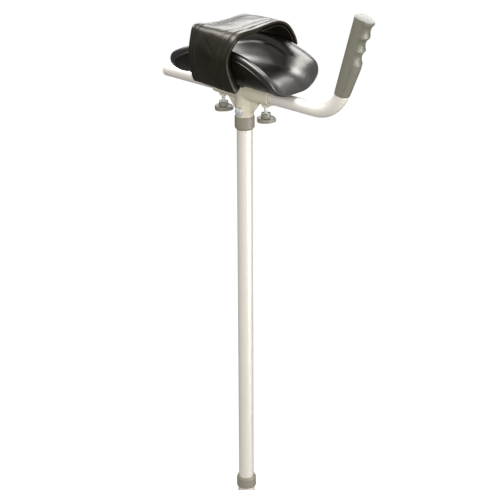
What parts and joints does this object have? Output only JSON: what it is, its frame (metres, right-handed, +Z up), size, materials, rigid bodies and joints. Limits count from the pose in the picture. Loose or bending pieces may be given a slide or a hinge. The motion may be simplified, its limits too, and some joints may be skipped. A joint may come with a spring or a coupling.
{
  "type": "platform crutch",
  "caption": "Platform crutch with a telescoping upright, a clamped beam with an upright hand grip, and a padded forearm trough with a closing cuff.",
  "frame": {"origin": "middle of the rubber tip's ground face", "axes": "+Z up along the upright, +X along the beam toward the hand grip"},
  "size_m": [0.4334, 0.1516, 1.1304],
  "materials": {
    "tip_rubber": "moulded matt black rubber",
    "zinc_steel": "bright zinc plate",
    "satin_tube": "satin anodised aluminium, warm silver",
    "grey_collar": "satin grey moulded plastic",
    "cast_bracket": "warm beige powder coat on a casting",
    "black_plastic": "matt black plastic",
    "knob_grey": "dark grey moulded plastic",
    "grip_grey": "soft grey moulded grip",
    "cap_cream": "cream plastic",
    "black_vinyl": "glossy black upholstery vinyl",
    "strap_vinyl": "black upholstery vinyl, brown sheen",
    "hook_loop": "black hook-and-loop tape"
  },
  "bodies": {
    "leg": {"rubber_tip": "tip_rubber", "tip_washer": "zinc_steel", "lower_tube": "satin_tube", "lower_collar": "grey_collar"},
    "post": {"upper_tube": "satin_tube", "tube_glide": "black_plastic", "button_spring": "zinc_steel", "upper_collar": "grey_collar", "bracket": "cast_bracket", "cross_bolt": "zinc_steel", "cross_nut": "zinc_steel", "trough_shell": "black_plastic", "trough_cover": "black_vinyl", "trough_pad": "black_vinyl", "trough_screws": "zinc_steel", "cuff_strap": "strap_vinyl", "loop_patch": "hook_loop"},
    "button": {"snap_button": "zinc_steel"},
    "beam_end": {"beam_cap": "cap_cream"},
    "beam": {"beam_tube": "satin_tube", "hand_grip": "grip_grey"},
    "shoe_rear": {"clamp_pad_rear": "black_plastic"},
    "shoe_front": {"clamp_pad_front": "black_plastic"},
    "screw_rear": {"clamp_stud_rear": "zinc_steel", "clamp_knob_rear": "knob_grey"},
    "screw_front": {"clamp_stud_front": "zinc_steel", "clamp_knob_front": "knob_grey"},
    "flap": {"cuff_flap": "strap_vinyl", "hook_patch": "hook_loop"}
  },
  "joints": [
    {"name": "height_adjust", "type": "slide", "parent": "leg", "child": "post", "axis": [0, 0, 1], "range_m": [0, 0.1524]},
    {"name": "button_press", "type": "slide", "parent": "post", "child": "button", "axis": [0, 1, 0], "range_m": [0, 0.004], "stiffness_N_per_m": 900, "springref_m": -0.002, "deforming": ["button_spring"]},
    {"name": "beam_reach", "type": "slide", "parent": "post", "child": "beam_end", "axis": [1, 0, 0], "range_m": [-0.045, 0.1]},
    {"name": "beam_roll", "type": "hinge", "parent": "beam_end", "child": "beam", "pos_m": [0, 0, 0.968], "axis": [1, 0, 0], "continuous": true},
    {"name": "rear_clamp_travel", "type": "slide", "parent": "post", "child": "shoe_rear", "axis": [0, 0, -1], "range_m": [0, 0.00381]},
    {"name": "rear_knob_turn", "type": "hinge", "parent": "shoe_rear", "child": "screw_rear", "pos_m": [-0.046, 0, 0.933], "axis": [0, 0, -1], "range_deg": [0, 1082]},
    {"name": "front_clamp_travel", "type": "slide", "parent": "post", "child": "shoe_front", "axis": [0, 0, -1], "range_m": [0, 0.00381]},
    {"name": "front_knob_turn", "type": "hinge", "parent": "shoe_front", "child": "screw_front", "pos_m": [0.046, 0, 0.933], "axis": [0, 0, -1], "range_deg": [0, 1082]},
    {"name": "cuff_open", "type": "hinge", "parent": "post", "child": "flap", "pos_m": [0, -0.063, 0.986], "axis": [1, 0, 0], "range_deg": [0, 110]}
  ],
  "couplings": [
    {"joint": "rear_knob_turn", "follows": "rear_clamp_travel", "rad_per_m": 4947.4},
    {"joint": "front_knob_turn", "follows": "front_clamp_travel", "rad_per_m": 4947.4}
  ]
}
